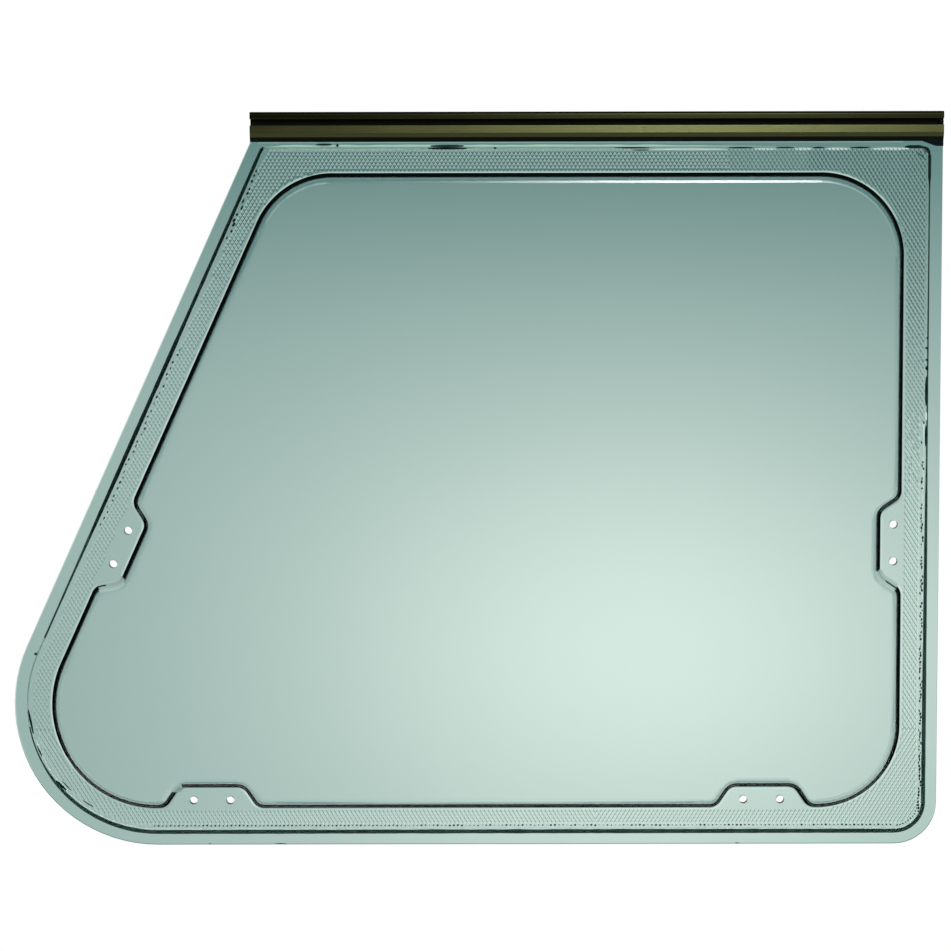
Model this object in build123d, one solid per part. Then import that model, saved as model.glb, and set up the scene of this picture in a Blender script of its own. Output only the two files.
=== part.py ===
from build123d import *
from math import cos, radians, sin, tan
import os

# Top-hung double-glazed caravan window with one raked side. X runs along the hinge rail, Z points up and
# -Y points into the caravan. The origin is on the flat ridge of the rail, the face that lies against the
# caravan's wall, at the middle of its length. All sizes are in millimetres.

# Overall outline
RAIL_LENGTH = 687.0
DROP = 718.0
RAKE_ANGLE = 24.4
RAKED_CORNER_RADIUS = 143.0
SQUARE_CORNER_RADIUS = 42.5

# Sheets
OUTER_THICKNESS = 4.0
OUTER_RIM_RADIUS = 0.8
INNER_THICKNESS = 2.5
BOND_THICKNESS = 0.5

# Inner sheet: a flat flange round a raised centre
FLANGE_INSET = 13.0
FLANGE_TOP_GAP = 5.5
FLANGE_WIDTH = 25.3
FLANGE_CORNER_RADIUS = 6.0
STEP_HEIGHT = 14.0
STEP_DRAFT = 16.0
STEP_CORNER_RADIUS = 83.0
SHOULDER_INSIDE_RADIUS = 6.0
FOOT_RADIUS = 3.0

# Adhesive strip under the flange
BOND_SETBACK = 1.5
BOND_WIDTH = 21.0

# Lands pressed back to the flange for the catches and the stays, with a pair of holes in each
LAND_DEPTH = 21.0
LAND_WIDTH = 63.0
LAND_FLANK_ANGLE = 34.0
LAND_MOUTH_RADIUS = 14.0
LAND_END_RADIUS = 11.0
LAND_CORNER_GAP = 1.8
STAY_RISE = 305.5
HOLE_REACH = 7.6
HOLE_SPACING = 37.0
HOLE_DIAMETER = 8.0

# Rail section
RIDGE_HEIGHT = 7.4
BEAD_HEIGHT = 7.1
BEAD_FRONT_RADIUS = 3.0
BEAD_BACK_RADIUS = 6.0
SOCKET_RADIUS = 5.0
SOCKET_MOUTH = 6.3
SOCKET_DEPTH = 6.2
SOCKET_WALL = 1.8
LIP_THICKNESS = 2.2
LIP_TIP = 0.8
LIP_CHAMFER_HEIGHT = 4.2
OUTER_LIP_THICKNESS = 2.0
OUTER_LIP_LENGTH = 10.0
EDGE_RADIUS = 0.5

# Rubber channel that holds the outer sheet in the rail
SEAL_LEG = 3.3
SEAL_BACK_LEG = 1.5
SEAL_BASE = 1.2
SEAL_SHOW = 4.5
SEAL_BACK_SHOW = 1.6
SEAL_TOE = 1.6

# Moulded end piece of the channel, with a tab on the sheet's square top corner
PLUG_LENGTH = 21.0
PLUG_TAB_THICKNESS = 2.0
PLUG_TAB_DROP = 5.0
PLUG_TAB_RADIUS = 8.0
PLUG_FLANGE_GAP = 5.5

# Heights in the rail, from the middle of the ridge
ridge_top = RIDGE_HEIGHT / 2
socket_z = ridge_top + SOCKET_MOUTH / 2
bead_bottom = ridge_top + SOCKET_MOUTH
rail_top = bead_bottom + BEAD_HEIGHT
pocket_top = socket_z - SOCKET_RADIUS - SOCKET_WALL
lip_bottom = -RIDGE_HEIGHT / 2 - LIP_CHAMFER_HEIGHT
outer_lip_bottom = pocket_top - OUTER_LIP_LENGTH
seal_bottom = lip_bottom - SEAL_SHOW

# Depths, from the ridge towards the outside
pane_front = LIP_THICKNESS + SEAL_LEG
pane_back = pane_front + OUTER_THICKNESS
pocket_back = pane_back + SEAL_BACK_LEG
rail_back = max(pocket_back + OUTER_LIP_THICKNESS, SOCKET_DEPTH + SOCKET_RADIUS + SOCKET_WALL)
flange_back = pane_front - BOND_THICKNESS
flange_front = flange_back - INNER_THICKNESS

# Plan of the sheets
half_rail = RAIL_LENGTH / 2
pane_top = pocket_top - SEAL_BASE
flange_top = seal_bottom - FLANGE_TOP_GAP
step_top = flange_top - FLANGE_WIDTH
foot_inset = FLANGE_INSET + FLANGE_WIDTH
rake = radians(RAKE_ANGLE)
draft = radians(STEP_DRAFT)
flank = radians(LAND_FLANK_ANGLE)


def raked_x(z, inset):
    """X of the raked side at height z, moved inwards by inset. It starts at the rail's lower corner."""
    return -half_rail - (seal_bottom - z) * tan(rake) + inset / cos(rake)


def rounded(corners, radii):
    """Closed flat outline through the corners, each rounded by its own radius, or sharp where it is 0."""
    face = make_face(Polyline(*corners, close=True))
    for corner, radius in zip(corners, radii):
        if radius > 0:
            vertex = face.vertices().sort_by_distance(Vector(*corner))[0]
            face = fillet(vertex, radius)
    return face


def outline(inset, top, top_radius, square_radius):
    """Outline of the window moved inwards by inset, with its top edge at a given height."""
    right = half_rail - inset
    bottom = inset - DROP
    corners = [(raked_x(top, inset), top), (right, top), (right, bottom), (raked_x(bottom, inset), bottom)]
    return rounded(corners, [top_radius, top_radius, square_radius, RAKED_CORNER_RADIUS - inset])


def sheet(face, front, thickness):
    """Flat sheet of a given outline, from its inside face towards the outside."""
    return extrude(Plane.XZ.offset(-front) * face, amount=-thickness)


def along_rail(section, start, end):
    """Straight length of a section that is drawn with depth across and height up."""
    return extrude(Plane.YZ.offset(start) * section, amount=end - start)


# Plan of one land, with its foot line on the step's foot and its length centred
land_end = LAND_WIDTH / 2
land_mouth = land_end + LAND_DEPTH * tan(flank)
land_run = land_mouth + LAND_MOUTH_RADIUS * tan((radians(90) - flank) / 2)


def land_places():
    """Where each land's foot line has its middle: two for catches, then the square and raked stays."""
    foot_z = foot_inset - DROP
    raked_arc_x = raked_x(RAKED_CORNER_RADIUS - DROP, RAKED_CORNER_RADIUS)
    square_arc_x = half_rail - foot_inset - STEP_CORNER_RADIUS
    stay_z = STAY_RISE - DROP
    return [
        Pos(raked_arc_x + LAND_CORNER_GAP + land_run, foot_z),
        Pos(square_arc_x - LAND_CORNER_GAP - land_run, foot_z),
        Pos(half_rail - foot_inset, stay_z) * Rot(0, 0, 90),
        Pos(raked_x(stay_z, foot_inset), stay_z) * Rot(0, 0, -90 - RAKE_ANGLE),
    ]


def step_outline():
    """Foot of the raised centre, notched at the four lands."""
    corners = [(-land_mouth, 0), (land_mouth, 0), (land_end, LAND_DEPTH), (-land_end, LAND_DEPTH)]
    radii = [LAND_MOUTH_RADIUS, LAND_MOUTH_RADIUS, LAND_END_RADIUS, LAND_END_RADIUS]
    land = make_face(Polyline(*corners, close=True))
    face = outline(foot_inset, step_top, STEP_CORNER_RADIUS, STEP_CORNER_RADIUS)
    for place in land_places():
        face -= place * land
        for corner, radius in zip(corners, radii):
            point = (place * Pos(*corner)).position
            face = fillet(face.vertices().sort_by_distance(point)[0], radius)
    return face


def drill(pane):
    """Drills the pair of holes in each land through a sheet."""
    for place in land_places():
        for along in (-HOLE_SPACING / 2, HOLE_SPACING / 2):
            spot = place * Pos(along, HOLE_REACH) * Circle(HOLE_DIAMETER / 2)
            pane -= sheet(spot, flange_front, pane_back - flange_front)
    return pane


def make_outer_pane():
    """Flat tinted outer sheet with a softened rim, gripped in the rail along its top edge."""
    pane = sheet(outline(0, pane_top, 0, SQUARE_CORNER_RADIUS), pane_front, OUTER_THICKNESS)
    rim = pane.faces().filter_by(Axis.Y).edges()
    return drill(fillet(rim, OUTER_RIM_RADIUS))


def raised(foot, base, shoulder_radius):
    """Drafted block on an outline, from a base depth towards the inside, with a rounded shoulder."""
    block = extrude(Plane.XZ.offset(-base) * foot, amount=STEP_HEIGHT, taper=STEP_DRAFT)
    top = block.faces().sort_by(Axis.Y)[0]
    return fillet(top.edges(), shoulder_radius)


def make_inner_pane():
    """Formed inner sheet of even thickness: flange, drafted wall, raised centre and lands."""
    foot = step_outline()
    plate = outline(FLANGE_INSET, flange_top, FLANGE_CORNER_RADIUS, SQUARE_CORNER_RADIUS - FLANGE_INSET)
    form = sheet(plate, flange_front, INNER_THICKNESS)
    form += raised(foot, flange_front, SHOULDER_INSIDE_RADIUS + INNER_THICKNESS)
    front = form.faces().filter_by(Axis.Y).sort_by(Axis.Y)[1]
    form = fillet(front.inner_wires().edges(), FOOT_RADIUS)
    wall_shift = INNER_THICKNESS * (1 - sin(draft)) / cos(draft)
    form -= raised(offset(foot, -wall_shift), flange_back, SHOULDER_INSIDE_RADIUS)
    back = form.faces().filter_by(Axis.Y).sort_by(Axis.Y)[-1]
    form = fillet(back.inner_wires().edges(), FOOT_RADIUS + INNER_THICKNESS)
    return drill(form)


def make_bond_strip():
    """Adhesive strip between the flange and the outer sheet."""
    edge = FLANGE_INSET + BOND_SETBACK
    top = flange_top - BOND_SETBACK
    strip = outline(edge, top, FLANGE_CORNER_RADIUS - BOND_SETBACK, SQUARE_CORNER_RADIUS - edge)
    strip -= outline(edge + BOND_WIDTH, top - BOND_WIDTH, STEP_CORNER_RADIUS, STEP_CORNER_RADIUS)
    return sheet(strip, flange_back, BOND_THICKNESS)


def make_hinge_rail():
    """Extruded rail: top bead, round hinge socket, flat ridge, and a pocket for the sheet and its rubber."""
    section = rounded(
        [
            (0, rail_top),
            (0, -RIDGE_HEIGHT / 2),
            (LIP_THICKNESS - LIP_TIP, lip_bottom),
            (LIP_THICKNESS, lip_bottom),
            (LIP_THICKNESS, pocket_top),
            (pocket_back, pocket_top),
            (pocket_back, outer_lip_bottom),
            (rail_back, outer_lip_bottom),
            (rail_back, rail_top),
        ],
        [BEAD_FRONT_RADIUS, EDGE_RADIUS, 0, 0, 0, 0, 0, EDGE_RADIUS, BEAD_BACK_RADIUS],
    )
    section -= Pos(SOCKET_DEPTH, socket_z) * Circle(SOCKET_RADIUS)
    section -= Pos(SOCKET_DEPTH / 2, socket_z) * Rectangle(SOCKET_DEPTH, SOCKET_MOUTH)
    for mouth_z in (ridge_top, bead_bottom):
        edge = section.vertices().sort_by_distance(Vector(0, mouth_z))[0]
        section = fillet(edge, EDGE_RADIUS)
    return along_rail(section, -half_rail, half_rail)


def channel_section():
    """U-shaped rubber section round the sheet's top edge, with a toe that shows under the rail's lip."""
    back_bottom = outer_lip_bottom - SEAL_BACK_SHOW
    return make_face(
        Polyline(
            (LIP_THICKNESS, pocket_top),
            (LIP_THICKNESS, lip_bottom),
            (LIP_THICKNESS - LIP_TIP, lip_bottom),
            (pane_front - SEAL_TOE, seal_bottom),
            (pane_front, seal_bottom),
            (pane_front, pane_top),
            (pane_back, pane_top),
            (pane_back, back_bottom),
            (pocket_back, back_bottom),
            (pocket_back, pocket_top),
            close=True,
        )
    )


def make_glazing_seal():
    """Rubber channel from the raked end up to the end piece."""
    return along_rail(channel_section(), -half_rail, half_rail - PLUG_LENGTH)


def make_end_plug():
    """End piece: the channel's section with a tab that curves down on the sheet's corner."""
    start = half_rail - PLUG_LENGTH
    tab_start = half_rail - FLANGE_INSET + PLUG_FLANGE_GAP
    tab_bottom = seal_bottom - PLUG_TAB_DROP
    tab = rounded(
        [(start, lip_bottom), (half_rail, lip_bottom), (half_rail, tab_bottom), (tab_start, tab_bottom),
         (start, seal_bottom)],
        [0, 0, 0, PLUG_TAB_RADIUS, 0],
    )
    plug = along_rail(channel_section(), start, half_rail)
    return plug + sheet(tab, pane_front - PLUG_TAB_THICKNESS, PLUG_TAB_THICKNESS)


pieces = {
    "outer_pane": make_outer_pane(),
    "inner_pane": make_inner_pane(),
    "bond_strip": make_bond_strip(),
    "hinge_rail": make_hinge_rail(),
    "glazing_seal": make_glazing_seal(),
    "end_plug": make_end_plug(),
}
os.makedirs("parts", exist_ok=True)
for name, piece in pieces.items():
    export_step(piece, f"parts/{name}.step")
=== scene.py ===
import math
import random

import bmesh
import bpy
from mathutils import Matrix, Vector, noise


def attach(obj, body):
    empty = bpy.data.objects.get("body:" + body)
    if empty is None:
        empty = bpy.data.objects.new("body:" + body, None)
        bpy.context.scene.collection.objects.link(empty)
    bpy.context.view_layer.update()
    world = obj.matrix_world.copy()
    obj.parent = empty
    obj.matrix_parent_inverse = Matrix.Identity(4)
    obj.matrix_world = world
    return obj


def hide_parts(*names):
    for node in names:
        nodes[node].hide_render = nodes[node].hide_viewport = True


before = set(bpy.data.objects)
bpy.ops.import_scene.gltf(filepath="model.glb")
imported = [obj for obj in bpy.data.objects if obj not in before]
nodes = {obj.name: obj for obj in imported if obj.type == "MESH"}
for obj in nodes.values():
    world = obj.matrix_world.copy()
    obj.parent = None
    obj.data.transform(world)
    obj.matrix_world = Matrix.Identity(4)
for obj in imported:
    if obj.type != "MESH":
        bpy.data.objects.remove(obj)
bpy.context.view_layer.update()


# Outer sheet: flat cast acrylic, tinted grey-green, cut to the window's outline with a milled rim.
# Eight holes are drilled through it, and its faces keep faint wiping marks.
CLOUD_DETAIL = 4.0
WIPE_DETAIL = 3.0
HAZE_RANGE = (0.1, 0.45)
POLISHED = (0.0, 0.03)
FAINT_RELIEF = (0.02, 0.00001)
ACRYLIC_IOR = 1.49


def wiping_marks():
    """Cloudy haze and long faint wipes that handled acrylic, metal and rubber all carry."""
    group = bpy.data.node_groups.new("wiping marks", "ShaderNodeTree")
    group.interface.new_socket("Cloud size", in_out="INPUT", socket_type="NodeSocketFloat")
    group.interface.new_socket("Wipe direction", in_out="INPUT", socket_type="NodeSocketVector")
    group.interface.new_socket("Haze", in_out="OUTPUT", socket_type="NodeSocketFloat")
    group.interface.new_socket("Ripple", in_out="OUTPUT", socket_type="NodeSocketFloat")
    tree = group.nodes
    given = tree.new("NodeGroupInput")
    result = tree.new("NodeGroupOutput")
    place = tree.new("ShaderNodeTexCoord")
    stretch = tree.new("ShaderNodeVectorMath")
    stretch.operation = "MULTIPLY"
    clouds = tree.new("ShaderNodeTexNoise")
    clouds.inputs["Detail"].default_value = CLOUD_DETAIL
    wipes = tree.new("ShaderNodeTexNoise")
    wipes.inputs["Scale"].default_value = 1.0
    wipes.inputs["Detail"].default_value = WIPE_DETAIL
    both = tree.new("ShaderNodeMath")
    both.operation = "MULTIPLY"
    group.links.new(place.outputs["Object"], clouds.inputs["Vector"])
    group.links.new(given.outputs["Cloud size"], clouds.inputs["Scale"])
    group.links.new(place.outputs["Object"], stretch.inputs[0])
    group.links.new(given.outputs["Wipe direction"], stretch.inputs[1])
    group.links.new(stretch.outputs["Vector"], wipes.inputs["Vector"])
    group.links.new(clouds.outputs["Fac"], both.inputs[0])
    group.links.new(wipes.outputs["Fac"], both.inputs[1])
    group.links.new(both.outputs["Value"], result.inputs["Haze"])
    group.links.new(wipes.outputs["Fac"], result.inputs["Ripple"])
    return group


marks = wiping_marks()


def surface(name, cloud_size, wipe, roughness, bump, clean, hazed):
    """Material with the wiping marks in its gloss, its bump and between two close tones."""
    material = bpy.data.materials.new(name)
    material.use_nodes = True
    tree = material.node_tree
    shader = tree.nodes["Principled BSDF"]
    worn = tree.nodes.new("ShaderNodeGroup")
    worn.node_tree = marks
    worn.inputs["Cloud size"].default_value = cloud_size
    worn.inputs["Wipe direction"].default_value = wipe
    gloss = tree.nodes.new("ShaderNodeMapRange")
    for socket, value in zip(("From Min", "From Max", "To Min", "To Max"), (*HAZE_RANGE, *roughness)):
        gloss.inputs[socket].default_value = value
    relief = tree.nodes.new("ShaderNodeBump")
    for socket, value in zip(("Strength", "Distance"), bump):
        relief.inputs[socket].default_value = value
    tone = tree.nodes.new("ShaderNodeMix")
    tone.data_type = "RGBA"
    tone.inputs["A"].default_value = (*clean, 1.0)
    tone.inputs["B"].default_value = (*hazed, 1.0)
    tree.links.new(worn.outputs["Haze"], gloss.inputs["Value"])
    tree.links.new(gloss.outputs["Result"], shader.inputs["Roughness"])
    tree.links.new(worn.outputs["Ripple"], relief.inputs["Height"])
    tree.links.new(relief.outputs["Normal"], shader.inputs["Normal"])
    tree.links.new(worn.outputs["Haze"], tone.inputs["Factor"])
    tree.links.new(tone.outputs["Result"], shader.inputs["Base Color"])
    return material, shader, tone


def acrylic(name, cloud_size, wipe, roughness, clean, hazed, gleam):
    """Acrylic that light passes through. Gleam is the share of the room that its surface reflects."""
    material, shader, _ = surface(name, cloud_size, wipe, roughness, FAINT_RELIEF, clean, hazed)
    shader.inputs["Transmission Weight"].default_value = 1.0
    shader.inputs["IOR"].default_value = ACRYLIC_IOR
    shader.inputs["Specular Tint"].default_value = (gleam, gleam, gleam, 1.0)
    return material


tinted_acrylic = acrylic("tinted acrylic", cloud_size=6.0, wipe=(9.0, 60.0, 70.0), roughness=POLISHED,
                         clean=(0.755, 0.905, 0.85), hazed=(0.735, 0.885, 0.83), gleam=0.2)
nodes["outer_pane"].data.materials.clear()
nodes["outer_pane"].data.materials.append(tinted_acrylic)


# Adhesive: a bead between the flange and the outer sheet, pressed out along the flange's edge. Along the
# rail it is milky. Elsewhere it is near black and dark green, partly the adhesive and partly painted shade
# of the flange's edge, and trapped bubbles show as dots and dashes.
MM = 0.001
DEPTH_AXIS = (0.0, 1.0, 0.0)
HALF_RAIL = 343.5
DROP = 718.0
RAKE = math.radians(24.4)
RAKE_START = -12.4
RAKED_RADIUS = 143.0
SQUARE_RADIUS = 42.5
FLANGE_INSET = 13.0
FLANGE_TOP = -17.9
FLANGE_RADIUS = 6.0
LEAST_RADIUS = 0.4
ARC_STEPS = (8, 8, 14, 60)
SIDE_STEPS = (170, 170, 190, 140)


def raked_x(height, inset):
    """X of the raked side at a height, moved inwards by inset."""
    return -HALF_RAIL - (RAKE_START - height) * math.tan(RAKE) + inset / math.cos(RAKE)


def window_corners(inset, top, top_radius, square_radius):
    """Corners of the window's outline moved inwards, clockwise from the raked end of the rail."""
    bottom = inset - DROP
    right = HALF_RAIL - inset
    points = [(raked_x(top, inset), top), (right, top), (right, bottom), (raked_x(bottom, inset), bottom)]
    points = [Vector((x, 0.0, z)) for x, z in points]
    radii = (top_radius, top_radius, square_radius, RAKED_RADIUS - inset)
    corners = []
    for number, (point, radius) in enumerate(zip(points, radii)):
        before = (points[number - 1] - point).normalized()
        after = (points[(number + 1) % 4] - point).normalized()
        half = before.angle(after) / 2
        reach = radius / math.tan(half)
        centre = point + (before + after).normalized() * radius / math.sin(half)
        corners.append((point, before, after, reach, centre, radius, math.pi - 2 * half))
    return corners


def edge_line(outward, depth):
    """Closed line of points beside the flange's edge: an arc spun at each corner and divided sides."""
    top_radius = max(FLANGE_RADIUS + outward, LEAST_RADIUS)
    square_radius = SQUARE_RADIUS - FLANGE_INSET + outward
    corners = window_corners(FLANGE_INSET - outward, FLANGE_TOP + outward, top_radius, square_radius)
    line = bmesh.new()
    level = Vector((0.0, depth, 0.0))
    starts = []
    ends = []
    for (point, before, _, reach, centre, _, turn), steps in zip(corners, ARC_STEPS):
        start = line.verts.new(point + before * reach + level)
        spun = bmesh.ops.spin(line, geom=[start], cent=centre + level, axis=DEPTH_AXIS,
                              angle=turn, steps=steps)
        starts.append(start)
        ends.append(spun["geom_last"][0])
    walk = [starts[0], starts[0].link_edges[0].other_vert(starts[0])]
    for end, start, steps in zip(ends, starts[1:] + starts[:1], SIDE_STEPS):
        stride = (start.co - end.co) / (steps + 1)
        side = bmesh.ops.spin(line, geom=[end], axis=DEPTH_AXIS, dvec=stride, angle=0.0, steps=steps)
        line.edges.new((side["geom_last"][0], start))
    while len(walk) < len(line.verts):
        beside = [edge.other_vert(walk[-1]) for edge in walk[-1].link_edges]
        walk.append(beside[1] if beside[0] is walk[-2] else beside[0])
    points = [vert.co.copy() for vert in walk]
    line.free()
    return points


def skin(mesh, lines, kind):
    """Closes a tube round the window through lines of as many points, one kind of adhesive a face."""
    rings = [[mesh.verts.new(point) for point in line] for line in lines]
    for first, second in zip(rings, rings[1:] + rings[:1]):
        for corners in zip(first, first[1:] + first[:1], second[1:] + second[:1], second):
            face = mesh.faces.new(corners)
            face.material_index = kind(face.calc_center_median())


def between(stations, place):
    """Value between the stations on either side of a place."""
    for (start, first), (end, second) in zip(stations, stations[1:]):
        if place >= end:
            share = min(max((place - start) / (end - start), 0.0), 1.0)
            return first + (second - first) * share
    return stations[-1][1]


def uneven(point, rate, amount):
    """Share by which a hand-laid bead is wider or narrower at a place."""
    return amount * noise.noise(point * rate)


# Widths of the dark bead at heights down the square side and down the raked side
SQUARE_SIDE = ((-22.0, 3.2), (-49.0, 3.2), (-53.0, 1.6), (-330.0, 1.8), (-370.0, 2.8), (-420.0, 3.3),
               (-560.0, 4.2), (-720.0, 4.4))
RAKED_SIDE = ((-18.0, 3.4), (-190.0, 3.5), (-215.0, 4.2), (-345.0, 4.2), (-400.0, 3.2), (-440.0, 2.4),
              (-572.0, 1.4), (-636.0, 1.8), (-652.0, 3.2), (-695.0, 4.2), (-720.0, 4.4))

# Reach of the milky bead along the rail, outwards and in under the flange
MILKY_START = 306.0
MILKY_END = -330.0
MILKY_LOWEST = FLANGE_TOP - 4.0
MILKY_OUT = ((MILKY_START, 0.2), (190.0, 0.4), (40.0, 2.4), (-312.0, 2.6), (MILKY_END, 0.4))
MILKY_IN = ((MILKY_START, 0.6), (190.0, 0.9), (40.0, 2.2), (-312.0, 2.3), (MILKY_END, 0.4))

# Where the bead is faint near the raked corner, green lower down, and bare at the square top corner
MILKY, DARK, PALE, GREEN = range(4)
FAINT_START = -508.0
FAINT_END = -598.0
GREEN_SQUARE = -60.0
GREEN_RAKED = -400.0
BARE_CORNER = (322.0, -27.0)
BARE_SHARE = 0.1
OUTER_PART = 0.45
INNER_PART = 0.55


def beside_rail(point):
    """Whether a place on the bead is in the milky length along the rail."""
    return point.z > MILKY_LOWEST and MILKY_END < point.x < MILKY_START


def bead_width(point):
    """Width of the dark bead at a place."""
    width = between(SQUARE_SIDE if point.x > 0.0 else RAKED_SIDE, point.z)
    return width * (1.0 + uneven(point, rate=0.11, amount=0.1) + uneven(point, rate=0.5, amount=0.05))


def outer_share(point):
    """How far the bead reaches outwards past the flange's edge."""
    if beside_rail(point):
        return between(MILKY_OUT, point.x) * (1.0 + uneven(point, rate=0.045, amount=0.3))
    if point.x > BARE_CORNER[0] and point.z > BARE_CORNER[1]:
        return BARE_SHARE
    return bead_width(point) * OUTER_PART


def inner_share(point):
    """How far the bead reaches in under the flange."""
    if beside_rail(point):
        return between(MILKY_IN, point.x) * (1.0 + uneven(point, rate=0.06, amount=0.2))
    return bead_width(point) * INNER_PART


def bead_kind(middle):
    """Kind of adhesive: milky along the rail and near the raked corner, elsewhere green or dark."""
    if beside_rail(middle) or (middle.x < 0.0 and FAINT_END < middle.z < FAINT_START):
        return MILKY
    return GREEN if middle.z < (GREEN_SQUARE if middle.x > 0.0 else GREEN_RAKED) else DARK


def stretched(points, home, share):
    """Line moved away from its home line by a share of its distance, with its depth kept."""
    moved = []
    for point, start in zip(points, home):
        place = start.lerp(point, share(start))
        moved.append(Vector((place.x, point.y, place.z)))
    return moved


# The bead's section, as distances outwards and depths: under the flange first, then out past its edge
EDGE_GAP = 0.08
BEAD_FRONT = 3.1
FLANGE_BACK = 5.2
BEAD_BACK = 5.44
SECTION = ((EDGE_GAP, FLANGE_BACK, inner_share), (-1.0, FLANGE_BACK, inner_share),
           (-1.0, BEAD_BACK, inner_share), (1.0, BEAD_BACK, outer_share),
           (0.5, 4.7, outer_share), (0.2, 3.9, outer_share))
mesh = bmesh.new()
edge = edge_line(EDGE_GAP, BEAD_FRONT)
lines = [edge]
for outward, depth, share in SECTION:
    lines.append(stretched(edge_line(outward, depth), edge, share))
skin(mesh, lines, bead_kind)

# Pale line just inside the dark bead, which runs along the bottom and up the square side
LINE_START = 2.8
LINE_WIDTH = 1.9
LINE_FRONT = 5.22
LINE_BACK = 5.4
LINE_TOP_SQUARE = -290.0
LINE_TOP_RAKED = -610.0
LINE_LEAST = 0.02
LINE_SHARE = 0.75


def line_share(point):
    """Share of the pale line's full width at a place."""
    if point.z > (LINE_TOP_SQUARE if point.x > 0.0 else LINE_TOP_RAKED):
        return LINE_LEAST
    return LINE_SHARE + uneven(point, rate=0.16, amount=0.6)


line_edge = edge_line(-LINE_START, LINE_FRONT)
lines = [line_edge, edge_line(-LINE_START, LINE_BACK)]
for depth in (LINE_BACK, LINE_FRONT):
    lines.append(stretched(edge_line(-LINE_START - LINE_WIDTH, depth), line_edge, line_share))
skin(mesh, lines, lambda middle: PALE)

# Thin milky line under the lip of the rubber channel
LIP_LINE_MIDDLE = (-16.0, 5.35, -12.7)
LIP_LINE_SIZE = (640.0, 0.2, 1.3)
under_lip = Matrix.Translation(LIP_LINE_MIDDLE) @ Matrix.Diagonal((*LIP_LINE_SIZE, 1.0))
bmesh.ops.create_cube(mesh, size=1.0, matrix=under_lip)

BUBBLE_DEPTH = 5.11
FRONT_DEPTH = 3.0
HALF_THICK = 0.08
bubbles = bmesh.new()


def bubble(kind, x, z, long, high, turn=0.0, detail=1, depth=BUBBLE_DEPTH):
    """Flat trapped bubble or lump, turned by degrees."""
    place = Matrix.Translation((x, depth, z)) @ Matrix.Rotation(math.radians(turn), 4, "Y")
    shape = Matrix.Diagonal((long / 2, HALF_THICK, high / 2, 1.0))
    made = bmesh.ops.create_icosphere(bubbles, subdivisions=detail, radius=1.0, matrix=place @ shape)
    for vert in made["verts"]:
        for face in vert.link_faces:
            face.material_index = kind


# Dark bubbles along the rail, behind the flange and then in front of its edge: x, z, length and height
for x, z, long, high in ((-148.0, -19.0, 42.0, 2.4), (-100.7, -18.6, 3.0, 2.2), (35.0, -18.7, 38.0, 1.5),
                         (44.0, -21.0, 18.0, 1.3), (143.0, -18.7, 27.0, 1.5), (187.0, -18.6, 19.0, 1.5),
                         (220.0, -18.7, 13.0, 1.5), (261.0, -18.8, 21.0, 1.7)):
    bubble(DARK, x, z, long, high, detail=2)
for x, z, long, high in ((-270.2, -14.9, 17.0, 1.8), (-256.8, -15.9, 2.6, 3.0), (-148.0, -16.6, 36.0, 2.4)):
    bubble(DARK, x, z, long, high, detail=2, depth=FRONT_DEPTH)

# Pale lumps between them: x, length and height
LUMP_ROW = -20.2
for x, long, high in ((92.0, 78.0, 1.5), (167.0, 22.0, 2.0), (205.0, 18.0, 2.3), (239.0, 25.0, 2.5),
                      (291.0, 39.0, 2.7)):
    bubble(PALE, x, LUMP_ROW, long, high, detail=3)

# Bubbles at two corners and down the square side: kind, x, z, length, height and, where turned, degrees
CORNER_BUBBLES = ((DARK, 322.0, -27.2, 12.5, 1.2, 41.0), (DARK, 326.6, -21.6, 7.0, 2.6, 45.0),
                  (DARK, -562.3, -523.4, 4.2, 2.8, 0.0), (DARK, -568.5, -592.0, 27.0, 2.2, 79.0),
                  (DARK, -560.0, -622.0, 13.0, 1.6, 66.0), (DARK, -538.5, -657.0, 15.0, 2.6, 45.0),
                  (DARK, -533.0, -657.5, 15.0, 1.1, 46.0), (PALE, -536.0, -657.2, 13.0, 1.4, 45.0),
                  (DARK, -512.0, -675.5, 14.0, 1.2, 34.0))
SQUARE_BUBBLES = ((DARK, 329.0, -260.5, 2.6, 31.0), (PALE, 329.2, -285.5, 2.2, 10.0),
                  (DARK, 329.0, -305.5, 2.0, 22.0), (DARK, 329.3, -229.6, 2.6, 2.6),
                  (DARK, 328.9, -217.6, 2.4, 2.4), (DARK, 329.3, -237.5, 3.0, 4.0),
                  (DARK, 329.9, -207.6, 3.0, 2.0))
for made_so in CORNER_BUBBLES + SQUARE_BUBBLES:
    bubble(*made_so, detail=2)

# Dark crumbs on the rim at the bottom: x and length
CRUMB_ROW = -716.9
CRUMB_HEIGHT = 1.1
for x, long in ((-389.4, 2.6), (-318.0, 14.0), (143.0, 5.0)):
    bubble(DARK, x, CRUMB_ROW, long, CRUMB_HEIGHT)

# Rows of small bubbles where the knurl's last row of points meets the adhesive, first along the bottom
random.seed(4)
DOT_PITCH = 4.08
DOT_ROW = -698.2
DOT_START = -445.0
DOT_COUNT = 183
DOT_SHAKE = 0.25
DOT_SHARE = 0.85
DOT_SIZES = (1.3, 1.7, 2.1, 2.7)
LARGE_DOTS = 60
LARGE_SIZES = (1.9, 2.2, 2.5)
for number in range(DOT_COUNT):
    size = random.choice(DOT_SIZES if number > LARGE_DOTS else LARGE_SIZES)
    height = DOT_ROW + random.uniform(-DOT_SHAKE, DOT_SHAKE)
    bubble(DARK, DOT_START + number * DOT_PITCH, height, size, size * DOT_SHARE)

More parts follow.
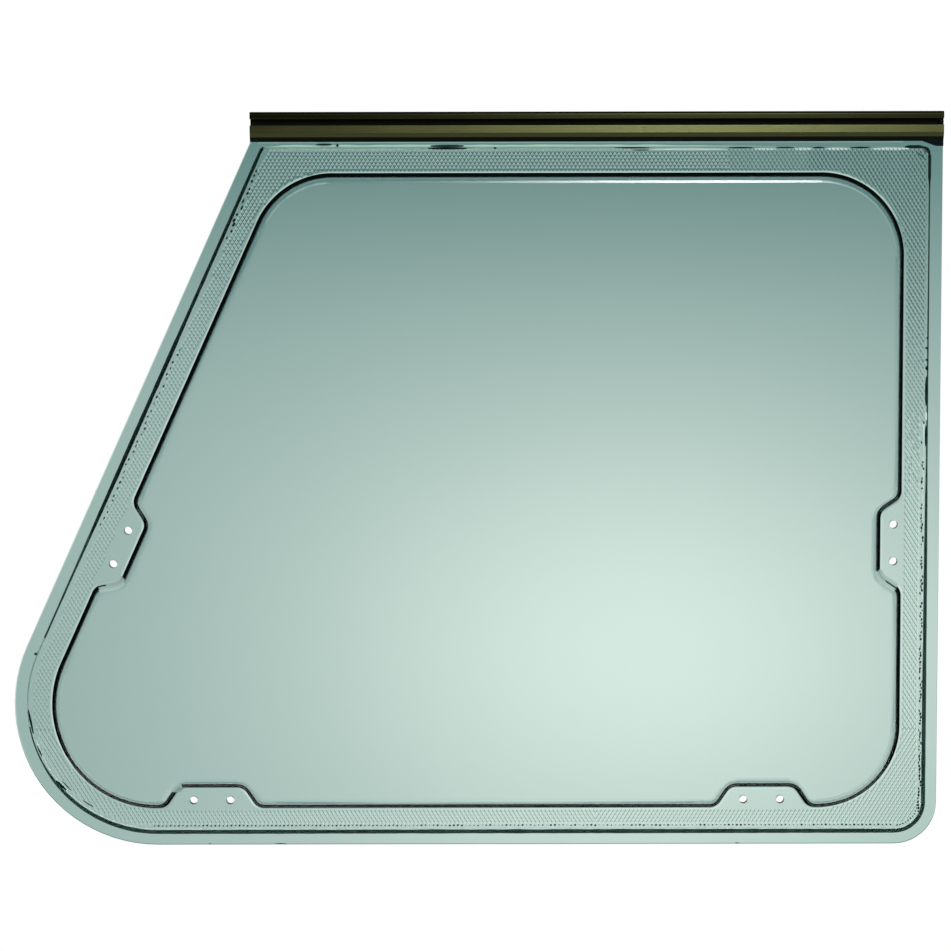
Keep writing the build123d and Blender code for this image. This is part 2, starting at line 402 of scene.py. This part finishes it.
# Round the square corner
CORNER_COUNT = 12
CORNER_PITCH = 7.5
CORNER_DOTS = 23.4
CORNER_LENGTHS = (1.6, 3.2)
CORNER_HEIGHTS = (1.2, 1.8)
for number in range(1, CORNER_COUNT + 1):
    around = math.radians(CORNER_PITCH * number - 90.0)
    x = HALF_RAIL - SQUARE_RADIUS + CORNER_DOTS * math.cos(around)
    z = SQUARE_RADIUS - DROP + CORNER_DOTS * math.sin(around)
    long = random.uniform(*CORNER_LENGTHS)
    bubble(DARK, x, z, long, random.uniform(*CORNER_HEIGHTS), -math.degrees(around) - 90.0)

# Down the raked side where the bead is dark, larger at the upper end and with a bare length between
RAKED_COUNT = 78
RAKED_START = -40.0
RAKED_PITCH = 6.1
RAKED_SHAKE = 1.5
RAKED_BARE = (-215.0, -110.0)
RAKED_TURN = 24.0
UPPER_DOTS = -105.0
UPPER_SIZE = 1.6
RAKED_INWARDS = (4.0, 7.0)
RAKED_LENGTHS = (1.2, 2.2)
RAKED_HEIGHTS = (1.8, 3.8)
for number in range(RAKED_COUNT):
    height = RAKED_START - number * RAKED_PITCH + random.uniform(-RAKED_SHAKE, RAKED_SHAKE)
    if RAKED_BARE[0] < height < RAKED_BARE[1] or height < GREEN_RAKED:
        continue
    x = raked_x(height, FLANGE_INSET + random.uniform(*RAKED_INWARDS))
    size = UPPER_SIZE if height > UPPER_DOTS else 1.0
    long = size * random.uniform(*RAKED_LENGTHS)
    bubble(DARK, x, height, long, size * random.uniform(*RAKED_HEIGHTS), RAKED_TURN)

# Down the square side, denser towards the bottom, with pale ones among them
SQUARE_COUNT = 120
SQUARE_START = -292.0
SQUARE_PITCH = 3.3
SQUARE_LEAST = 0.35
SQUARE_GAIN = 160.0
SQUARE_TURN = 20.0
SQUARE_INWARDS = (3.2, 5.6)
SQUARE_LENGTHS = (1.4, 2.4)
SQUARE_HEIGHTS = (2.0, 4.4)
for number in range(SQUARE_COUNT):
    height = SQUARE_START - number * SQUARE_PITCH
    if random.random() > SQUARE_LEAST + number / SQUARE_GAIN:
        continue
    x = HALF_RAIL - (FLANGE_INSET + random.uniform(*SQUARE_INWARDS))
    long = random.uniform(*SQUARE_LENGTHS)
    high = random.uniform(*SQUARE_HEIGHTS)
    bubble(DARK, x, height, long, high, random.uniform(-SQUARE_TURN, SQUARE_TURN))
PALE_COUNT = 26
PALE_INWARDS = (3.4, 4.6)
PALE_SPAN = (-660.0, -430.0)
PALE_LENGTH = 2.2
PALE_HEIGHTS = (2.0, 4.0)
for number in range(PALE_COUNT):
    x = HALF_RAIL - FLANGE_INSET - random.uniform(*PALE_INWARDS)
    height = random.uniform(*PALE_SPAN)
    bubble(PALE, x, height, PALE_LENGTH, random.uniform(*PALE_HEIGHTS))
trapped = bpy.data.meshes.new("trapped bubbles")
bubbles.to_mesh(trapped)
bubbles.free()
mesh.from_mesh(trapped)
bpy.data.meshes.remove(trapped)
bmesh.ops.recalc_face_normals(mesh, faces=mesh.faces)
bmesh.ops.scale(mesh, vec=(MM, MM, MM), verts=mesh.verts)


def as_object(name, mesh):
    """Puts a finished mesh into the scene under its name."""
    made = bpy.data.objects.new(name, bpy.data.meshes.new(name))
    mesh.to_mesh(made.data)
    mesh.free()
    bpy.context.scene.collection.objects.link(made)
    return made


def matt(name, cloud_size, wipe, roughness, bump, clean, hazed, gleam):
    """Solid material that lets no light through and reflects little of the room."""
    material, shader, _ = surface(name, cloud_size, wipe, roughness, bump, clean, hazed)
    shader.inputs["Specular IOR Level"].default_value = gleam
    return material


adhesive = as_object("adhesive_bead", mesh)
# The dark and green colours are partly painted shade of the flange's edge
for name, clean, hazed in (("milky adhesive", (0.39, 0.6, 0.51), (0.36, 0.54, 0.47)),
                           ("dark adhesive with painted edge shade", (0.003, 0.014, 0.011), (0.012, 0.042, 0.034)),
                           ("pale adhesive", (0.8, 0.97, 0.93), (0.66, 0.86, 0.81)),
                           ("green adhesive with painted edge shade", (0.022, 0.058, 0.047), (0.045, 0.1, 0.085))):
    material = matt(name, cloud_size=90.0, wipe=(40.0, 40.0, 40.0), roughness=(0.3, 0.5), bump=(0.1, 0.0001),
                    clean=clean, hazed=hazed, gleam=0.05)
    adhesive.data.materials.append(material)
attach(adhesive, "root")
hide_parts("bond_strip")


# Inner sheet: clear acrylic, heated and blown to a raised centre, then trimmed and drilled. The drawn wall
# of the step bends the light aside. That darkness is painted shade, a near-black matt colour on the wall,
# and a few places at the lands are painted pale as painted light.
CLEAN_ACRYLIC = (0.985, 0.99, 0.988)
HAZED_ACRYLIC = (0.965, 0.975, 0.97)
SHEET_CLOUDS = 7.0
SHEET_WIPE = (60.0, 60.0, 9.0)
DRAWN_CLOUDS = 40.0
ALL_WAYS = (60.0, 60.0, 60.0)
clear_acrylic = acrylic("clear acrylic", SHEET_CLOUDS, SHEET_WIPE, roughness=POLISHED,
                        clean=CLEAN_ACRYLIC, hazed=HAZED_ACRYLIC, gleam=1.0)
dull_acrylic = acrylic("dull acrylic", SHEET_CLOUDS, SHEET_WIPE, roughness=POLISHED,
                       clean=CLEAN_ACRYLIC, hazed=HAZED_ACRYLIC, gleam=0.0)
drawn_shoulder = acrylic("drawn shoulder", DRAWN_CLOUDS, ALL_WAYS, roughness=(0.17, 0.22),
                         clean=CLEAN_ACRYLIC, hazed=HAZED_ACRYLIC, gleam=1.0)
shader = drawn_shoulder.node_tree.nodes["Principled BSDF"]
shader.inputs["Specular IOR Level"].default_value = 1.0
shader.inputs["Coat Weight"].default_value = 0.4
shader.inputs["Coat Roughness"].default_value = 0.17
shader.inputs["Coat IOR"].default_value = 1.8
drawn_foot = acrylic("drawn foot", DRAWN_CLOUDS, ALL_WAYS, roughness=(0.2, 0.3),
                     clean=CLEAN_ACRYLIC, hazed=HAZED_ACRYLIC, gleam=0.0)
# Painted shade: the clear wall gets a near-black matt colour and no reflection
painted_dark_wall = matt("painted dark wall", DRAWN_CLOUDS, ALL_WAYS, roughness=(0.35, 0.5), bump=FAINT_RELIEF,
                  clean=(0.002, 0.004, 0.004), hazed=(0.004, 0.008, 0.007), gleam=0.0)
# Painted light: a pale matt colour on the wall where it shows light at the lands
painted_light_wall = matt("painted light wall", DRAWN_CLOUDS, ALL_WAYS, roughness=(0.45, 0.6), bump=FAINT_RELIEF,
                 clean=(0.42, 0.56, 0.51), hazed=(0.4, 0.53, 0.485), gleam=0.0)
CLEAR, DULL, FOOT, SHOULDER, WALL, PAINTED_LIGHT = range(6)
SHEET_MATERIALS = (clear_acrylic, dull_acrylic, drawn_foot, drawn_shoulder, painted_dark_wall, painted_light_wall)

# Depths between which the wall is painted dark, by where it runs, and how far its faces lean and turn up
SHOULDER_LEVEL = -10.65
TOP_DARK = (-8.5, 1.5)
SIDE_DARK = (-8.2, 1.5)
BOTTOM_DARK = (-6.8, 0.9)
RAKED_FLANK_DARK = (-2.9, 0.7)
SQUARE_FLANK_DARK = (-6.8, -3.2)
WALL_LEAST = -0.05
FLAT = -0.9999
SHOULDER_TURN = -0.3
BOTTOM_TURN = -0.5
TOP_TURN = 0.7
FLANK_TURN = 0.9
TOP_END = -0.1
# Flanks between these two x and the bright places are painted pale, as painted light
PALE_FLANKS = (-0.4905, 0.289)
BRIGHT_PLACES = ((0.2835, -0.4465, 0.0075), (-0.4765, -0.4505, 0.006), (-0.4215, -0.658, 0.006))
CUT_REACH = 1e-7
SAME_PLACE = 1e-6


def sheet_kind(face):
    """Place in the inner sheet's list of materials for a face."""
    middle = face.calc_center_median()
    if face.normal.y > 0.0:
        return DULL
    if not FLAT < face.normal.y < WALL_LEAST:
        return CLEAR
    upright = face.normal.z / math.hypot(face.normal.x, face.normal.z)
    if middle.y < SHOULDER_LEVEL * MM:
        return SHOULDER if upright > SHOULDER_TURN else DULL
    if any(math.hypot(middle.x - x, middle.z - z) < reach for x, z, reach in BRIGHT_PLACES):
        return PAINTED_LIGHT
    front, back = SIDE_DARK
    if upright < BOTTOM_TURN:
        front, back = BOTTOM_DARK
    elif upright > TOP_TURN:
        if middle.z > TOP_END:
            front, back = TOP_DARK
        elif middle.x > 0.0 or upright > FLANK_TURN:
            front, back = RAKED_FLANK_DARK if middle.x < 0.0 else SQUARE_FLANK_DARK
            pale_light = PALE_FLANKS[0] < middle.x < PALE_FLANKS[1] or not front * MM < middle.y < back * MM
            return PAINTED_LIGHT if pale_light else WALL
    if front * MM < middle.y < back * MM:
        return WALL
    return FOOT if upright > SHOULDER_TURN else DULL


def divide(sheet, place, across):
    """Divides a mesh along a plane, with all of it kept."""
    everything = sheet.verts[:] + sheet.edges[:] + sheet.faces[:]
    bmesh.ops.bisect_plane(sheet, geom=everything, dist=CUT_REACH, plane_co=place, plane_no=across)


# The sheet's own mesh, divided where the painted dark wall starts and ends and where the flanks' painted
# light starts
formed = nodes["inner_pane"].data
sheet = bmesh.new()
sheet.from_mesh(formed)
drawn = sheet.loops.layers.float_vector.new("drawn")
for face, drawn_face in zip(sheet.faces, formed.polygons):
    for loop, corner in zip(face.loops, drawn_face.loop_indices):
        loop[drawn] = formed.corner_normals[corner].vector
for level in (SHOULDER_LEVEL, *TOP_DARK, *SIDE_DARK, *BOTTOM_DARK, *RAKED_FLANK_DARK, *SQUARE_FLANK_DARK):
    divide(sheet, (0.0, level * MM, 0.0), DEPTH_AXIS)
for aside in PALE_FLANKS:
    divide(sheet, (aside, 0.0, 0.0), (1.0, 0.0, 0.0))
bmesh.ops.remove_doubles(sheet, verts=sheet.verts, dist=SAME_PLACE)
for face in sheet.faces:
    face.material_index = sheet_kind(face)
    face.smooth = True
inner = as_object("formed_sheet", sheet)
inner.data.normals_split_custom_set([corner.vector for corner in inner.data.attributes["drawn"].data])
for material in SHEET_MATERIALS:
    inner.data.materials.append(material)
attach(inner, "root")
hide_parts("inner_pane")


# Knurl: rows of low four-sided points pressed into the flange's face, from the adhesive's edge to the step.
# They belong to the inner sheet and are a little duller. Flanks that bend light aside are painted darker, as
# painted shade.
KNURL_PITCH = 4.08
KNURL_ROW = 3.33
KNURL_ROWS = 205
KNURL_COLUMNS = 230
KNURL_START = -590.0
KNURL_HEIGHTS = ((-25.0, 0.18), (-260.0, 0.11))
KNURL_FLAT = 0.5
KNURL_GAP = 0.03
KNURL_EDGE = 20.0
KNURL_TOP = -21.0
KNURL_CORNER = 2.0
UPPER_EDGE = 16.5
UPPER_END = -290.0
POINT_ACROSS = 0.49
POINT_UP = 0.98
POINT_FACES = 6
FLANGE_FACE = 2.5
STEP_INSET = 35.3
STEP_TOP = -40.2
STEP_RADIUS = 86.0


def within(corners, place):
    """Whether a place lies inside a rounded outline."""
    for point, before, after, reach, centre, radius, _ in corners:
        to_place = place - point
        inward = Vector((after.z, 0.0, -after.x))
        if to_place.dot(inward) < 0.0:
            return False
        at_corner = to_place.dot(before) < reach and to_place.dot(after) < reach
        if at_corner and (place - centre).length > radius:
            return False
    return True


outer_limit = window_corners(KNURL_EDGE, KNURL_TOP, KNURL_CORNER, SQUARE_RADIUS - KNURL_EDGE)
upper_limit = window_corners(UPPER_EDGE, KNURL_TOP, KNURL_CORNER, SQUARE_RADIUS - UPPER_EDGE)
inner_limit = window_corners(STEP_INSET, STEP_TOP, STEP_RADIUS, STEP_RADIUS)
mesh = bmesh.new()
one_row = bpy.data.meshes.new("row of points")
laid_flat = Matrix.Rotation(math.pi / 2, 4, "X")
for row in range(1, KNURL_ROWS + 1):
    points = bmesh.new()
    high = between(KNURL_HEIGHTS, DOT_ROW + KNURL_ROW * row)
    shape = laid_flat @ Matrix.Diagonal((KNURL_PITCH * POINT_ACROSS, KNURL_ROW * POINT_UP, high, 1.0))
    for column in range(KNURL_COLUMNS):
        across = KNURL_START + KNURL_PITCH * (column + 0.5 * (row % 2))
        place = Vector((across, 0.0, DOT_ROW + KNURL_ROW * row))
        limit = upper_limit if place.x > 0.0 and place.z > UPPER_END else outer_limit
        if not within(limit, place) or within(inner_limit, place):
            continue
        place.y = FLANGE_FACE - KNURL_GAP - high / 2
        bmesh.ops.create_cone(points, cap_ends=True, segments=4, radius1=1.0, radius2=KNURL_FLAT, depth=1.0,
                              matrix=Matrix.Translation(place) @ shape)
    points.to_mesh(one_row)
    points.free()
    mesh.from_mesh(one_row)
bpy.data.meshes.remove(one_row)
bmesh.ops.scale(mesh, vec=(MM, MM, MM), verts=mesh.verts)
knurl = as_object("knurl", mesh)
knurl.data.materials.append(dull_acrylic)
# Two flank colours of painted shade, the second deeper
for name, clean, hazed in (("knurl flank painted shade", (0.3, 0.39, 0.37), (0.28, 0.36, 0.34)),
                           ("knurl flank deep painted shade", (0.13, 0.19, 0.19), (0.12, 0.175, 0.175))):
    knurl.data.materials.append(acrylic(name, DRAWN_CLOUDS, ALL_WAYS, POLISHED, clean, hazed, gleam=0.0))

# The flanks with painted shade face low left, or high below TURN_OVER. The top band adds the low right ones,
# and the square end the high right ones, with a deeper painted shade towards its corner
PAINTED_SHADE_FLANK = 1
DEEP_PAINTED_SHADE_FLANK = 2
TURN_OVER = -0.6
BAND_LOWEST = -0.11
END_START = 0.13
END_LOWEST = -0.32
SHADE_START = 0.21
SHADE_LOWEST = -0.2
HEIGHT_FADE = 0.05
LEAN = 0.01
for face in knurl.data.polygons:
    if face.index % POINT_FACES == 0:
        fade = HEIGHT_FADE * random.uniform(-1.0, 1.0)
    middle = face.center
    across, up = face.normal.x, face.normal.z
    if middle.z < TURN_OVER:
        across, up = (-across if middle.x < 0.0 else across), -up
    low_left = across < -LEAN and up < -LEAN
    low_right = across > LEAN and up < -LEAN
    high_right = across > LEAN and up > LEAN
    square_end = middle.x > END_START and middle.z > END_LOWEST + fade
    deep_painted_shade = middle.x > SHADE_START and middle.z > SHADE_LOWEST + fade
    if square_end and (low_left or high_right):
        face.material_index = DEEP_PAINTED_SHADE_FLANK if deep_painted_shade else PAINTED_SHADE_FLANK
    elif low_left or (low_right and middle.z > BAND_LOWEST + fade and not square_end):
        face.material_index = PAINTED_SHADE_FLANK
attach(knurl, "root")


# Rubber channel and its moulded end piece: black rubber pushed over the sheet's top edge and pressed into
# the rail. The extruded channel has fine lines along it. A peg of the end piece closes the rail's groove.
PEG_RADIUS = 4.9
PEG_LENGTH = 4.0
PEG_MIDDLE = (341.2, 6.2, 6.85)
PEG_SIDES = 40
black_rubber = matt("black rubber", cloud_size=40.0, wipe=(6.0, 900.0, 900.0), roughness=(0.5, 0.8),
                    bump=(0.35, 0.0003), clean=(0.0015, 0.004, 0.003), hazed=(0.004, 0.008, 0.0065),
                    gleam=0.05)
for name in ("glazing_seal", "end_plug"):
    nodes[name].data.materials.clear()
    nodes[name].data.materials.append(black_rubber)
mesh = bmesh.new()
along_rail = Matrix.Rotation(math.pi / 2, 4, "Y")
bmesh.ops.create_cone(mesh, cap_ends=True, segments=PEG_SIDES, radius1=PEG_RADIUS, radius2=PEG_RADIUS,
                      depth=PEG_LENGTH, matrix=Matrix.Translation(PEG_MIDDLE) @ along_rail)
bmesh.ops.scale(mesh, vec=(MM, MM, MM), verts=mesh.verts)
peg = as_object("end_plug_peg", mesh)
peg.data.materials.append(black_rubber)
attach(peg, "root")


# Hinge rail: extruded aluminium, anodised dark bronze. The die leaves fine lines along its length. The bead
# over the groove is painted darker, and the groove's faces are painted near black, both painted shade.
DIE_LINES = (1.2, 1500.0, 1500.0)
DIE_RELIEF = (0.12, 0.0002)
BEAD_START = 0.0098
BEAD_FADE = 0.001
BEAD_PAINTED_SHADE = (0.0145, 0.016, 0.006)
SOCKET_DEPTH = 0.0062
SOCKET_HEIGHT = 0.00685
SOCKET_REACH = 0.0066
SOCKET_MOUTH = 0.0004
IN_GROOVE = 1
bronze, shader, tone = surface("bronze anodised", cloud_size=12.0, wipe=DIE_LINES, roughness=(0.25, 0.33),
                               bump=DIE_RELIEF, clean=(0.088, 0.095, 0.037), hazed=(0.072, 0.078, 0.03))
shader.inputs["Metallic"].default_value = 1.0
tree = bronze.node_tree
place = tree.nodes.new("ShaderNodeTexCoord")
parts = tree.nodes.new("ShaderNodeSeparateXYZ")
# Painted shade: above BEAD_START the bead's colour is mixed to a darker one
bead = tree.nodes.new("ShaderNodeMapRange")
bead.interpolation_type = "SMOOTHSTEP"
bead.inputs["From Min"].default_value = BEAD_START
bead.inputs["From Max"].default_value = BEAD_START + BEAD_FADE
darker = tree.nodes.new("ShaderNodeMix")
darker.data_type = "RGBA"
darker.inputs["B"].default_value = (*BEAD_PAINTED_SHADE, 1.0)
tree.links.new(place.outputs["Object"], parts.inputs["Vector"])
tree.links.new(parts.outputs["Z"], bead.inputs["Value"])
tree.links.new(bead.outputs["Result"], darker.inputs["Factor"])
tree.links.new(tone.outputs["Result"], darker.inputs["A"])
tree.links.new(darker.outputs["Result"], shader.inputs["Base Color"])
# Painted shade: the faces inside the groove get a near-black colour
groove = matt("groove painted shade", cloud_size=60.0, wipe=DIE_LINES, roughness=(0.7, 0.9), bump=DIE_RELIEF,
              clean=(0.004, 0.004, 0.0025), hazed=(0.007, 0.007, 0.004), gleam=0.1)
rail = nodes["hinge_rail"].data
rail.materials.clear()
rail.materials.append(bronze)
rail.materials.append(groove)
for face in rail.polygons:
    off_middle = math.hypot(face.center.y - SOCKET_DEPTH, face.center.z - SOCKET_HEIGHT)
    if off_middle < SOCKET_REACH and face.center.y > SOCKET_MOUTH:
        face.material_index = IN_GROOVE


# Studio: the window hangs in front of a white room whose lower half is bright, as over a light table.
# The room has its own brightness for what shows through the sheets and for what the surfaces mirror.
world = bpy.data.worlds.new("light table")
bpy.context.scene.world = world
world.use_nodes = True
world.cycles.sampling_method = "NONE"
tree = world.node_tree
back = tree.nodes["Background"]
ray = tree.nodes.new("ShaderNodeLightPath")
place = tree.nodes.new("ShaderNodeTexCoord")
parts = tree.nodes.new("ShaderNodeSeparateXYZ")
tree.links.new(place.outputs["Generated"], parts.inputs["Vector"])


def step(operation, first, second=None):
    """One sum in the light table's formula."""
    node = tree.nodes.new("ShaderNodeMath")
    node.operation = operation
    for socket, value in zip(node.inputs, (first, second)):
        if value is None:
            continue
        if isinstance(value, (int, float)):
            socket.default_value = value
        else:
            tree.links.new(value, socket)
    return node.outputs["Value"]


def slope(value, start, end, low_end, high_end):
    """Soft change from one value to another."""
    node = tree.nodes.new("ShaderNodeMapRange")
    node.interpolation_type = "SMOOTHSTEP"
    for name, number in zip(("From Min", "From Max", "To Min", "To Max"), (start, end, low_end, high_end)):
        node.inputs[name].default_value = number
    tree.links.new(value, node.inputs["Value"])
    return node.outputs["Result"]


def blend(factor, first, second):
    """Mix of two colours, each written out or coming from a node."""
    node = tree.nodes.new("ShaderNodeMix")
    node.data_type = "RGBA"
    tree.links.new(factor, node.inputs["Factor"])
    for name, colour in zip(("A", "B"), (first, second)):
        if isinstance(colour, tuple):
            node.inputs[name].default_value = (*colour, 1.0)
        else:
            tree.links.new(colour, node.inputs[name])
    return node.outputs["Result"]


# Brightness of the table seen through the sheets, by height and turn in degrees: dim above and brighter
# below, with a bright spot near the middle, and falling off to the sides and at the table's end
RISE_MIDDLE = 0.13
RISE_WIDTH = 1.63
RISE_MOST = 30.0
RISE_PART = 0.323
SPOT_TURN = 3.77
SPOT_WIDTH = 5.02
SPOT_HEIGHT = -7.9
SPOT_DEPTH = 3.08
SPOT_LOWEST = -13.0
SPOT_PART = 0.2845
SIDE_TURN = 1.5
SIDE_WIDTH = 14.0
SIDE_LEAST = 0.65
TABLE_END = 0.3
TABLE_EDGE = (-19.0, -13.5)
ABOVE_TABLE = (4.0, 10.0)
ABOVE_PART = 0.12
height = step("MULTIPLY", step("ARCSINE", parts.outputs["Z"]), 180 / math.pi)
turn = step("MULTIPLY", step("ARCTAN2", parts.outputs["X"], parts.outputs["Y"]), 180 / math.pi)
rise = step("DIVIDE", step("SUBTRACT", height, RISE_MIDDLE), RISE_WIDTH)
low = step("DIVIDE", 1.0, step("ADD", 1.0, step("EXPONENT", step("MINIMUM", rise, RISE_MOST))))
across = step("DIVIDE", step("SUBTRACT", turn, SPOT_TURN), SPOT_WIDTH)
along = step("DIVIDE", step("SUBTRACT", step("MAXIMUM", height, SPOT_LOWEST), SPOT_HEIGHT), SPOT_DEPTH)
far = step("ADD", step("MULTIPLY", across, across), step("MULTIPLY", along, along))
spot = step("EXPONENT", step("MULTIPLY", far, -0.5))
side = step("DIVIDE", step("SUBTRACT", turn, SIDE_TURN), SIDE_WIDTH)
fall = step("EXPONENT", step("MULTIPLY", step("MULTIPLY", side, side), -0.5))
level = step("ADD", step("MULTIPLY", low, RISE_PART), step("MULTIPLY", spot, SPOT_PART))
level = step("MULTIPLY", level, step("MAXIMUM", fall, SIDE_LEAST))
level = step("MULTIPLY", level, slope(height, *TABLE_EDGE, TABLE_END, 1.0))
level = step("ADD", level, slope(height, *ABOVE_TABLE, 0.0, ABOVE_PART))

# Colours of that table, of the room around it and of what the surfaces mirror
TABLE_DIM = (0.051, 0.17, 0.181)
TABLE_BRIGHT = (1.515, 1.475, 1.425)
AROUND_TABLE = (1.0, 1.03, 1.0)
AHEAD = (0.86, 0.95)
ROOM = (0.55, 0.57, 0.57)
WHITE = (1.0, 1.0, 1.0)
glow = blend(level, TABLE_DIM, TABLE_BRIGHT)
glow = blend(slope(parts.outputs["Y"], *AHEAD, 0.0, 1.0), AROUND_TABLE, glow)
ceiling = slope(parts.outputs["Z"], start=0.2, end=0.65, low_end=0.03, high_end=0.23)
ground = slope(parts.outputs["Z"], start=-0.6, end=-0.3, low_end=0.55, high_end=0.0)
walls = slope(step("ABSOLUTE", parts.outputs["X"]), start=0.35, end=0.8, low_end=0.0, high_end=0.2)
mirrored = step("ADD", step("ADD", ceiling, ground), walls)
room = blend(ray.outputs["Is Glossy Ray"], ROOM, mirrored)
room = blend(ray.outputs["Is Transmission Ray"], room, glow)
room = blend(ray.outputs["Is Camera Ray"], room, WHITE)
tree.links.new(room, back.inputs["Color"])

LAMP_AIM = (0.05, 0.0, -0.1)


def softbox(name, place, size, power):
    """Rectangular studio lamp that no camera sees, also not through the sheets."""
    lamp = bpy.data.lights.new(name, "AREA")
    lamp.shape = "RECTANGLE"
    lamp.size, lamp.size_y = size
    lamp.energy = power
    thing = bpy.data.objects.new(name, lamp)
    bpy.context.scene.collection.objects.link(thing)
    thing.location = place
    thing.rotation_euler = (Vector(LAMP_AIM) - Vector(place)).to_track_quat("-Z", "Y").to_euler()
    thing.visible_camera = False
    thing.visible_transmission = False


softbox("wide softbox", place=(0.21, -1.9, 0.65), size=(0.56, 0.9), power=10.0)
softbox("softbox", place=(0.27, -1.88, 0.65), size=(0.34, 0.9), power=13.0)

# White floor under the window. It shines for the camera, and it isn't seen from below or through the sheets
FLOOR_PLACE = (-0.12, 0.0, -0.97)
FLOOR_SIZE = (1.2, 0.5, 1.0)
FLOOR_WHITE = (0.9, 0.9, 0.9, 1.0)
FLOOR_ROUGHNESS = 0.9
FLOOR_SHINE = 0.75
mesh = bmesh.new()
bmesh.ops.create_grid(mesh, x_segments=1, y_segments=1, size=1.0)
bmesh.ops.scale(mesh, vec=FLOOR_SIZE, verts=mesh.verts)
bmesh.ops.translate(mesh, vec=FLOOR_PLACE, verts=mesh.verts)
floor = as_object("floor", mesh)
floor.visible_transmission = False
white = bpy.data.materials.new("white floor")
white.use_nodes = True
tree = white.node_tree
shader = tree.nodes["Principled BSDF"]
shader.inputs["Base Color"].default_value = FLOOR_WHITE
shader.inputs["Roughness"].default_value = FLOOR_ROUGHNESS
ray = tree.nodes.new("ShaderNodeLightPath")
shine = tree.nodes.new("ShaderNodeEmission")
clear = tree.nodes.new("ShaderNodeBsdfTransparent")
side = tree.nodes.new("ShaderNodeNewGeometry")
share = tree.nodes.new("ShaderNodeMath")
share.operation = "MULTIPLY"
share.inputs[1].default_value = FLOOR_SHINE
lit = tree.nodes.new("ShaderNodeMixShader")
one_sided = tree.nodes.new("ShaderNodeMixShader")
tree.links.new(ray.outputs["Is Camera Ray"], share.inputs[0])
tree.links.new(share.outputs["Value"], lit.inputs["Fac"])
tree.links.new(shader.outputs["BSDF"], lit.inputs[1])
tree.links.new(shine.outputs["Emission"], lit.inputs[2])
tree.links.new(side.outputs["Backfacing"], one_sided.inputs["Fac"])
tree.links.new(lit.outputs["Shader"], one_sided.inputs[1])
tree.links.new(clear.outputs["BSDF"], one_sided.inputs[2])
tree.links.new(one_sided.outputs["Shader"], tree.nodes["Material Output"].inputs["Surface"])
floor.data.materials.append(white)


# Camera: a long lens three metres off, a little above the middle of the window. Its focal length and the
# picture's width are in pixels.
AIM = Vector((-0.1206, 0.0055, -0.3443))
DISTANCE = 3.0
TILT = math.radians(4.6)
ROLL = math.radians(-0.1)
SENSOR = 36.0
FOCAL_PIXELS = 3000
PICTURE_PIXELS = 951
lens = bpy.data.cameras.new("camera")
lens.sensor_width = SENSOR
lens.lens = SENSOR * FOCAL_PIXELS / PICTURE_PIXELS
camera = bpy.data.objects.new("camera", lens)
bpy.context.scene.collection.objects.link(camera)
stand = AIM - DISTANCE * Vector((0.0, math.cos(TILT), -math.sin(TILT)))
turned = Matrix.Rotation(math.pi / 2 - TILT, 4, "X") @ Matrix.Rotation(ROLL, 4, "Z")
camera.matrix_world = Matrix.Translation(stand) @ turned
bpy.context.scene.camera = camera

bpy.context.scene.view_settings.view_transform = "Standard"
